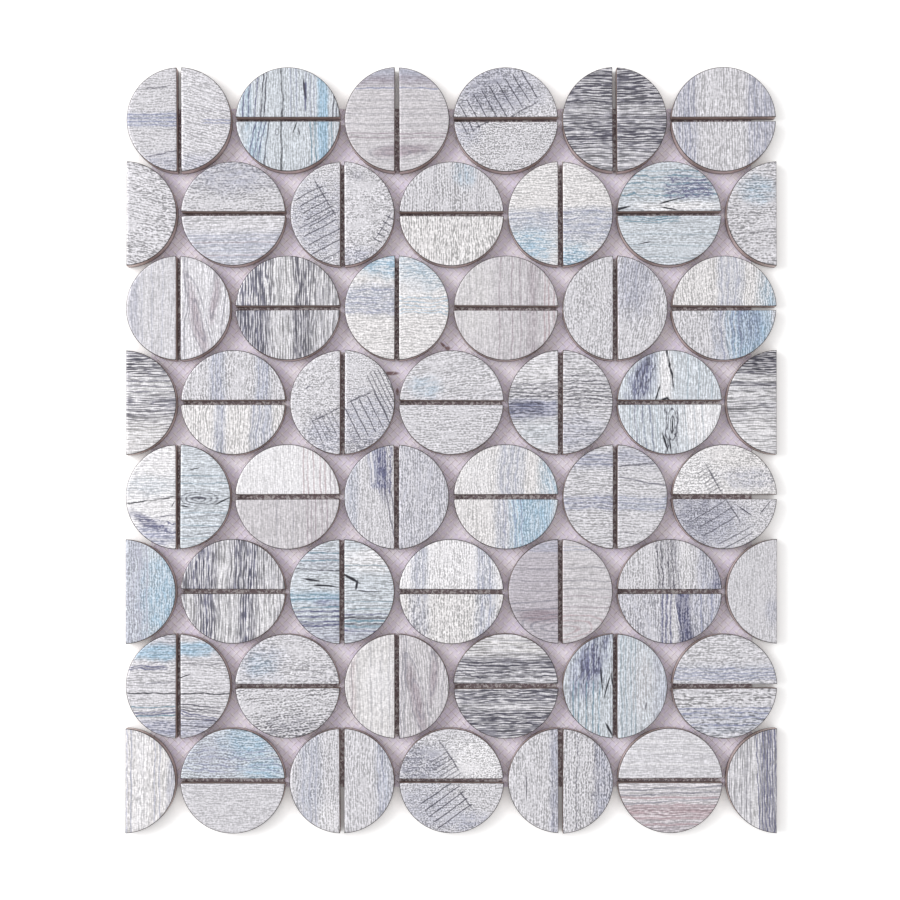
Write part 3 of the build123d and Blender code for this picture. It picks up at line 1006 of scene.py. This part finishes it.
# %% Prints of row 7
PRINTS.append([
    (wood(LEVEL, "silver", blot("sky", -0.4, 0.64, 0.6, 0.16, 0.9, 0.4, 0.3),
         band("haze", 0.88, 0.1, 0.6), lines("indigo", 0.37, 0.33, end=-0.2, waver=0.12),
         lines("slate", 0.48, 0.1, start=-0.6, slope=0.1, strength=0.6),
         lines("black", -0.13, thick=0.014), lines("indigo", -0.47, -0.52, slope=0.05),
         lines("teal", -0.57, -0.4), band("periwinkle", -0.82, 0.16, 0.7), stretch=3),
     wood(LEVEL, "silver", blot("sky", 0.3, 0.7, 0.42, 0.13, 0.9, 0.4, 0.3),
         lines("charcoal", 0.5, 0.42, start=0, end=0.85, strength=0.5),
         crack(0.1, 0.18, 0.12, 20, 0.025), lines("black", -0.13, thick=0.014),
         lines("charcoal", -0.32, -0.38, -0.43, end=0.8, slope=-0.1),
         lines("indigo", -0.45, -0.5, slope=-0.24, waver=0.12),
         lines("charcoal", -0.6, -0.74, slope=-0.1), band("periwinkle", -0.82, 0.18, 0.6), stretch=3)),
    (dashed(LEVEL, blot("haze", -0.55, 0.45, 0.45, 0.34, 0.8), blot("sky", -0.5, 0.4, 0.25, 0.2, 0.4),
         lines("slate", 0.44, 0.34, 0.22, start=0.2, slope=-0.12, strength=0.4), wave=0.05),
     dashed(LEVEL, blot("slate", 0, -0.9, 0.7, 0.35, 0.6, streaky=0.9), dark=0.6, slant=6)),
    (silky(UPRIGHT, "cream", band("rose", -0.84, 0.06, 0.5),
         lines("pewter", -0.86, -0.74, -0.5, -0.3, -0.15, strength=0.35),
         # The white blot here is a painted sheen.
         blot("white", 0, -0.3, 0.5, 0.3)),
     silky(UPRIGHT, "greige", flame, lines("pewter", -0.7, -0.5, -0.3, -0.12, strength=0.7, waver=0.15),
         wave=0.05, dark=0.3, light=0.2)),
    (streaked(LEVEL, band("silver", 0.1, 0.2, 0.7, 0.12), band("slate", 0.34, 0.16, 0.35, 0.12),
         band("cream", 0.86, 0.3, 0.95), lines("charcoal", 0.46, 0.38, 0.26, 0.18, waver=0.15)),
     streaked(LEVEL, band("slate", -0.2, 0.14, 0.6, 0.1), band("white", -0.4, 0.05, 0.6),
         band("slate", -0.74, 0.3, 0.6, 0.12),
         lines("charcoal", -0.1, -0.2, -0.52, -0.6, -0.72, waver=0.15), dark=0.6, flash=0.8)),
    (wood(UPRIGHT, "ice", blot("periwinkle", 0.42, -0.5, 0.65, 0.29, 0.9, turn=20),
         blot("indigo", 0.45, -0.42, 0.5, 0.15, 0.95, streaky=0.8, turn=24),
         lines("charcoal", -0.75, -0.62, -0.5, start=0.05, waver=0.25, slope=0.3, strength=0.7),
         lines("teal", -0.8, -0.7, -0.55, -0.42, -0.3, end=0.1), crack(0.15, -0.27, 0.24, -6, 0.03),
         crack(0, -0.15, 0.24, 14, 0.035), crack(0.1, -0.06, 0.14, -10, 0.03),
         crack(-0.83, -0.12, 0.16, -28, 0.045), stretch=3),
     wood(UPRIGHT, "ice", lines("teal", 0.12, 0.2, 0.3, 0.38, strength=0.45),
         band("haze", 0.88, 0.16, 0.9), crack(-0.38, 0.58, 0.07, 10, 0.022, "charcoal"),
         blot("silver", 0, 0.55, 0.7, 0.25), stretch=3, dark=0.28)),
    (dashed(LEVEL, band("haze", 0.26, 0.16, 0.7, 0.1),
         lines("periwinkle", 0.14, 0.2, 0.26, 0.34, waver=0.15, strength=0.7), stretch=2.4, dark=0.4),
     dashed(LEVEL, band("haze", -0.7, 0.26, 0.9, 0.14),
         lines("periwinkle", -0.42, -0.5, -0.6, -0.74, waver=0.15), stretch=3, dark=0.58)),
])
print("discs in row 7:", len(PRINTS[-1]))

# %% Prints of row 8
PRINTS.append([
    wood(UPRIGHT, "cream", band("white", 0.36, 0.14, 0.9), band("lilac", 0.93, 0.08, 0.8),
        lines("lilac", 0.08, 0.16, 0.6, 0.7), dark=0.28, stretch=3.6),
    (wood(LEVEL, "ice", blot("lilac", -0.3, 0.5, 0.6, 0.4), blot("sky", 0.35, 0.75, 0.5, 0.32, 0.8),
         blot("sky", 0.6, 0.2, 0.4, 0.2, 0.8),
         lines("periwinkle", 0.2, 0.3, 0.42, 0.55, waver=0.2, strength=0.7), dark=0.44, wave=0.04),
     silky(LEVEL, "silver", stretch=1.8, dark=0.24)),
    (wood(UPRIGHT, "silver", band("haze", -0.62, 0.22, 0.8, 0.12),
         # The white blot here is a painted sheen.
         blot("white", -0.75, -0.3, 0.28, 0.25, 0.9), lines("lilac", -0.5, -0.6, -0.75), wave=0.05,
         dark=0.44),
     wood(UPRIGHT, "silver", band("haze", 0.8, 0.14, 0.9, 0.1),
         lines("periwinkle", 0.7, 0.78, strength=0.4), stretch=3)),
    (stippled(LEVEL, blot("lilac", -0.6, 0.3, 0.5, 0.4, 0.8),
         blot("slate", -0.7, 0.3, 0.4, 0.35, 0.5, streaky=0.9),
         saw(-0.1, 0.25, 0.3, 0.2, -58, 0.08, 0.7),
         lines("charcoal", 0.42, start=-0.25, end=0.15, slope=-1.55),
         # The white blot here is a painted sheen.
         blot("white", 0.55, 0.4, 0.5, 0.45, 0.95, streaky=0.2)),
     stippled(LEVEL, blot("lilac", -0.5, -0.5, 0.6, 0.45, 0.65, streaky=0.4),
         saw(-0.1, -0.45, 0.4, 0.4, -56, 0.14, 1),
         lines("charcoal", -0.02, start=0.15, end=0.4, slope=-1.3),
         blot("lilac", 0.4, -0.8, 0.4, 0.2, 0.9), dark=0.5)),
    (dashed(UPRIGHT, band("lilac", -0.12, 0.09, 0.9, 0.05), lines("slate", -0.05, -0.16, strength=0.4),
         crack(-0.1, -0.67, 0.22, 0, 0.018, "charcoal"), dark=0.4),
     dashed(UPRIGHT, band("lilac", 0.84, 0.18, 0.9, 0.05, waver=0.3),
         lines("slate", 0.3, 0.64, 0.7, waver=0.3, strength=0.7), dark=0.54)),
    (silky(LEVEL, "silver", lines("white", 0.3, 0.55, 0.75), dark=0.12, light=0.2),
     silky(LEVEL, "greige", band("rose", -0.6, 0.13, 0.9, 0.1),
         lines("rose", -0.33, -0.48, -0.72, -0.84, thick=0.02),
         lines("pewter", -0.15, -0.25, -0.4, strength=0.95, slope=0.05), band("mauve", -0.88, 0.1, 0.6),
         dark=0.26, light=0.3)),
    streaked(UPRIGHT, band("silver", -0.78, 0.18, 0.95, 0.08, 0.3), band("white", -0.46, 0.12, 0.95),
        band("silver", -0.2, 0.2, 0.35, 0.1),
        lines("indigo", -0.4, -0.33, -0.27, -0.21, -0.16, -0.11, -0.05, slope=-0.04, waver=0.12),
        dark=0.46),
])
print("discs in row 8:", len(PRINTS[-1]))

# %% [markdown]
# ## One material per print
# A material reads the place on the disc, turns it so that the grain runs along the first number, and
# adds a seed as the third so that no two prints share fibres. The ground and the soft marks come
# first, the fibres darken and lighten them, the fine marks lie on top, and the satin face finishes
# the stack. The cut walls are bare metal, ground in upright streaks, with a painted shade towards the
# foot, deep in the joints between the chips.

# %% A print's material
PLANK_SHARE = 0.04
WEAVE_BUMP, WEAVE_DEPTH = 0.25, 0.05 * MM


def new_finish(name):
    """A new material, its node tree and the inputs of its shader."""
    material = bpy.data.materials.new(name)
    material.use_nodes = True
    return material, material.node_tree, material.node_tree.nodes["Principled BSDF"].inputs


def bumped(tree, height, strength, depth):
    """Normal of a face that rises with the height."""
    sockets = {"Height": height, "Strength": strength, "Distance": depth}
    return node(tree, "Bump", sockets).outputs[0]


def printed(name, recipe, seed):
    """Material of one print."""
    material, tree, shader = new_finish(name)
    upright = recipe["grain"] == UPRIGHT
    lay = node(tree, "Mapping", {
        "Vector": node(tree, "UVMap", uv_map="disc").outputs[0], "Location": (0, 0, seed),
        "Rotation": (0, 0, math.pi / 2 * upright), "Scale": (1, -1 if upright else 1, 1)}).outputs[0]
    grain = use(tree, wavy_grain, Vector=lay, Wave=recipe["wave"])["Vector"]
    slant = {"Vector": grain, "Angle": math.radians(-recipe["slant"])}
    askew = node(tree, "VectorRotate", slant, rotation_type="Z_AXIS").outputs[0]
    strands = use(tree, fibres, Vector=askew, Fineness=recipe["fine"], Stretch=recipe["stretch"],
                  Lined=recipe["lined"])
    soft, fine = [], []
    for effect, shade, over, settings in recipe["marks"]:
        mask = use(tree, effect, Vector=grain, Fibre=strands["Brush"], **settings)["Mask"]
        (fine if over else soft).append((mask, ink(shade)))
    broad = sums(tree, "MULTIPLY", strands["Plank"], PLANK_SHARE)
    colour = blend(tree, broad, ink(recipe["ground"]), ink("white"))
    for mask, shade in soft:
        colour = blend(tree, mask, colour, shade)
    shine = sums(tree, "MULTIPLY_ADD", strands["Dark"], -recipe["dark"], 1)
    shine = sums(tree, "MULTIPLY_ADD", strands["Light"], recipe["light"], shine)
    colour = dimmed(tree, colour, shine)
    for output, share, shade in (("Light", "flash", "white"), ("Hair", "hair", "charcoal")):
        mask = sums(tree, "MULTIPLY", strands[output], recipe[share])
        colour = blend(tree, mask, colour, ink(shade))
    for mask, shade in fine:
        colour = blend(tree, mask, colour, shade)
    inset = node(tree, "Attribute", attribute_name="inset").outputs["Fac"]
    face = use(tree, satin_face, Vector=lay, Colour=colour, Inset=inset)
    feed(tree, shader, {
        "Base Color": face["Colour"], "Roughness": face["Roughness"], "Metallic": face["Metallic"],
        "Normal": bumped(tree, face["Height"], WEAVE_BUMP, WEAVE_DEPTH)})
    return material


print("bump of the weave in mm:", WEAVE_DEPTH / MM)

# %% Bare cut walls
# The foot colour is a painted shade: the walls darken towards their foot, deep in the joints.
WALL_DULL, WALL_BRIGHT, WALL_FOOT_SHADE = (0.47, 0.38, 0.36, 1), (0.76, 0.64, 0.61, 1), (0.2, 0.15, 0.15, 1)
FOOT_SHADE_FROM, FOOT_SHADE_TO = 3.0 * MM, 0.8 * MM
cut_metal, tree, shader = new_finish("cut_metal")
where = node(tree, "TexCoord").outputs["Object"]
grind = node(tree, "Mapping", {"Vector": where, "Scale": (900, 900, 60)}).outputs[0]
rough_cut = noise(tree, grind, 1.0, 3.0)
# foot is 1 near the underside of the wall, where the painted shade lies.
foot = step(tree, split(tree, where)["Z"], FOOT_SHADE_FROM, FOOT_SHADE_TO)
feed(tree, shader, {
    "Base Color": blend(tree, foot, blend(tree, rough_cut, WALL_DULL, WALL_BRIGHT), WALL_FOOT_SHADE),
    "Roughness": sums(tree, "MULTIPLY_ADD", rough_cut, 0.3, 0.35)})
shader["Metallic"].default_value = 0.35
print("wall finish:", cut_metal.name)

# %% Give every chip its print
SEED_STEP, HALF_STEP = 3.7, 1.9
for row, piece in enumerate(chip_rows):
    piece.data.materials.append(cut_metal)
    for disc, _, turn in chips_of_row(row):
        entry = PRINTS[row][disc]
        half = 0 if turn in (LEFT, UPPER) else 1
        name = f"print_{row + 1}_{disc + 1}" + ("_ab"[half + 1] if isinstance(entry, tuple) else "")
        material = bpy.data.materials.get(name)
        if material is None:
            recipe = entry[half] if isinstance(entry, tuple) else entry
            seed = SEED_STEP * (row * (DISCS_IN_FULL_ROW + 1) + disc) + HALF_STEP * half
            material = printed(name, recipe, seed)
        piece.data.materials.append(material)
print("materials:", len(bpy.data.materials))

# %% [markdown]
# ## Film and threads
# The film is a soft lilac skin that swells a little inside every cell of the net. In cell
# coordinates p and q, turned by 45 degrees, the swelling is the squared sine of p times that of q:
# zero on the threads, one in the middle of a cell. Below the discs, where only the slots show it, the
# film is painted dark brown, a painted shade of the deep slots, with pale specks that are painted
# highlights of lit net threads. Folding x and y at half a pitch and at a row's height brings every
# disc centre to one of two corners, so the nearer corner tells how far from a centre a point is. A
# few specks of dust and glue lie on the film.

# %% Film finish
FILM_LOW, FILM_HIGH = (0.85, 0.78, 0.98, 1), (1.0, 0.97, 1.0, 1)
# Painted shade and painted highlights for the slot floors: dark brown flecked with pale specks.
SLOT_FLOOR_SHADE, BEAD_HIGHLIGHT, SLOT_SHADE_FADE = (0.36, 0.28, 0.3, 1), (1.0, 0.96, 0.97, 1), 0.8 * MM
DUST = (0.16, 0.06, 0.045, 1)
SPECKS = ((-23.8, 30.4, 3.0, 0.7, 0.0), (-21.3, 23.2, 0.6, 1.4, 0.0),
          (-3.2, 41.5, 1.6, 0.5, -45.0), (-1.4, 40.2, 1.0, 0.8, 0.0))
film_look, tree, shader = new_finish("lilac_film")
where = node(tree, "TexCoord").outputs["Object"]
cells = split(tree, node(tree, "Mapping", {
    "Vector": where, "Rotation": (0, 0, math.pi / 4), "Scale": (math.pi / CELL,) * 3}).outputs[0])
swell = 1.0
for axis in ("X", "Y"):
    wave = sums(tree, "SINE", cells[axis])
    swell = sums(tree, "MULTIPLY", swell, sums(tree, "MULTIPLY", wave, wave))
cloud = noise(tree, where, 140.0, 4.0)
share = sums(tree, "MULTIPLY_ADD", swell, 0.7, 0.36)
share = sums(tree, "MULTIPLY_ADD", sums(tree, "SUBTRACT", cloud, 0.5), 1.4, share)
colour = blend(tree, share, FILM_LOW, FILM_HIGH)

row_pitch = pitch * math.sqrt(3) / 2
place = split(tree, where)
near_x = sums(tree, "PINGPONG", place["X"], pitch / 2)
near_y = sums(tree, "PINGPONG", sums(tree, "SUBTRACT", place["Y"], row_pitch / 2), row_pitch)
far_x, far_y = sums(tree, "SUBTRACT", pitch / 2, near_x), sums(tree, "SUBTRACT", row_pitch, near_y)
from_centre = sums(tree, "MINIMUM", distance(tree, near_x, near_y), distance(tree, far_x, far_y))
# Painted shade in the slots: the film under each disc turns dark brown, with painted highlight specks.
slot_shade = step(tree, from_centre, radius, radius - SLOT_SHADE_FADE)
bead_highlight = step(tree, noise(tree, where, 900.0, 1.0), 0.48, 0.6)
colour = blend(tree, slot_shade, colour, blend(tree, bead_highlight, SLOT_FLOOR_SHADE, BEAD_HIGHLIGHT))
for x, y, long, wide, turn in SPECKS:
    dust = use(tree, ragged_blot, Vector=where, Along=x * MM, Across=y * MM, Long=long * MM, Wide=wide * MM,
               Turn=math.radians(turn), Streaky=0.0, Strength=0.85, Ragged=0.3)["Mask"]
    colour = blend(tree, dust, colour, DUST)
feed(tree, shader, {
    "Base Color": colour, "Roughness": sums(tree, "MULTIPLY_ADD", cloud, 0.3, 0.3),
    "Normal": bumped(tree, swell, 0.5, 0.2 * MM)})
film.data.materials.append(film_look)
print("film finish ready, specks:", len(SPECKS))

# %% Thread finish
THREAD_DARK, THREAD_LIGHT = (0.6, 0.52, 0.6, 1), (0.8, 0.73, 0.8, 1)
thread_look, tree, shader = new_finish("mauve_thread")
fluff = noise(tree, node(tree, "TexCoord").outputs["Object"], 900.0, 3.0)
feed(tree, shader, {
    "Base Color": blend(tree, fluff, THREAD_DARK, THREAD_LIGHT),
    "Roughness": sums(tree, "MULTIPLY_ADD", fluff, 0.3, 0.45)})
for piece in threads:
    piece.data.materials.append(thread_look)
print("thread finish ready, pieces:", len(threads))

# %% [markdown]
# ## Floor, light and camera
# The sheet lies on a white floor. A large soft lamp, far away on the left, lights the edges that
# face it and shades the net on the right of each chip, and the even surroundings fill the rest.
# Floor and surroundings look white to the camera and in reflections by a little light of their
# own. The floor's light fades close to the chips, so that their soft shadow stays.

# %% Floor


def seen_directly(tree):
    """1 for the camera, for reflections and for what is seen through glass; 0 for other light."""
    path = node(tree, "LightPath").outputs
    mirrored = sums(tree, "MAXIMUM", path["Is Glossy Ray"], path["Is Transmission Ray"])
    return sums(tree, "MAXIMUM", path["Is Camera Ray"], mirrored)


FLOOR_SIZE, FLOOR_GAP = 80.0, 0.05 * MM
FLOOR_GLOW, FLOOR_WHITE, SHADOW_REACH = 0.4, (0.92, 0.92, 0.92, 1), 5 * MM
floor_mesh = bpy.data.meshes.new("floor")
corners = np.array([(-1, -1, 0), (1, -1, 0), (1, 1, 0), (-1, 1, 0)]) * FLOOR_SIZE / 2
floor_mesh.from_pydata((corners + [0, 0, cad_low.z - FLOOR_GAP]).tolist(), [], [[0, 1, 2, 3]])
floor = bpy.data.objects.new("floor", floor_mesh)
bpy.context.scene.collection.objects.link(floor)
paint = bpy.data.materials.new("white_floor")
paint.use_nodes = True
tree = paint.node_tree
tree.nodes.clear()
openness = node(tree, "AmbientOcclusion", {"Distance": SHADOW_REACH}, samples=8).outputs["AO"]
seen = sums(tree, "MULTIPLY", seen_directly(tree), sums(tree, "MULTIPLY", openness, FLOOR_GLOW))
glow = node(tree, "Emission", {"Color": (1, 1, 1, 1), "Strength": seen})
matt = node(tree, "BsdfDiffuse", {"Color": FLOOR_WHITE})
both = node(tree, "AddShader", {0: glow.outputs[0], 1: matt.outputs[0]})
node(tree, "OutputMaterial", {"Surface": both.outputs[0]})
floor_mesh.materials.append(paint)
print("floor glow:", FLOOR_GLOW)

# %% Light
KEY_FROM, KEY_SIZE, KEY_WATTS = (-2.9, 0.75, 2.4), 2.25, 97.0
SURROUND = 0.61
lamp = bpy.data.lights.new("soft_key", "AREA")
lamp.size, lamp.energy = KEY_SIZE, KEY_WATTS
key = bpy.data.objects.new("soft_key", lamp)
key.location = KEY_FROM
key.rotation_euler = (-key.location).to_track_quat("-Z", "Y").to_euler()
bpy.context.scene.collection.objects.link(key)
world = bpy.data.worlds.new("studio")
world.use_nodes = True
tree = world.node_tree
backdrop = tree.nodes["Background"].inputs
backdrop["Color"].default_value = (1, 1, 1, 1)
white = sums(tree, "MULTIPLY_ADD", seen_directly(tree), 1 - SURROUND, SURROUND)
feed(tree, backdrop, {"Strength": white})
bpy.context.scene.world = world
bpy.context.scene.view_settings.view_transform = "Standard"
print("lamp watts and surroundings:", KEY_WATTS, SURROUND)

# %% Camera
VIEW_TILT = math.radians(0.5)
VIEW_DISTANCE = 0.75
SHEET_SHARE = 763.5 / 900
SHIFT, SIDE_SHIFT = 0.1, -0.0015
lens = bpy.data.cameras.new("camera")
frame_height = (cad_high.y - cad_low.y) / SHEET_SHARE
lens.sensor_width, lens.shift_x, lens.shift_y = 36.0, SIDE_SHIFT, SHIFT
lens.lens = lens.sensor_width * VIEW_DISTANCE / frame_height
camera = bpy.data.objects.new("camera", lens)
aim = (cad_low + cad_high) / 2
back, rise = VIEW_DISTANCE, SHIFT * frame_height
camera.location = (aim.x, aim.y - back * math.sin(VIEW_TILT) - rise * math.cos(VIEW_TILT),
                   aim.z + back * math.cos(VIEW_TILT) - rise * math.sin(VIEW_TILT))
camera.rotation_euler = (VIEW_TILT, 0, 0)
bpy.context.scene.collection.objects.link(camera)
bpy.context.scene.camera = camera
print("lens in mm:", round(lens.lens, 1))
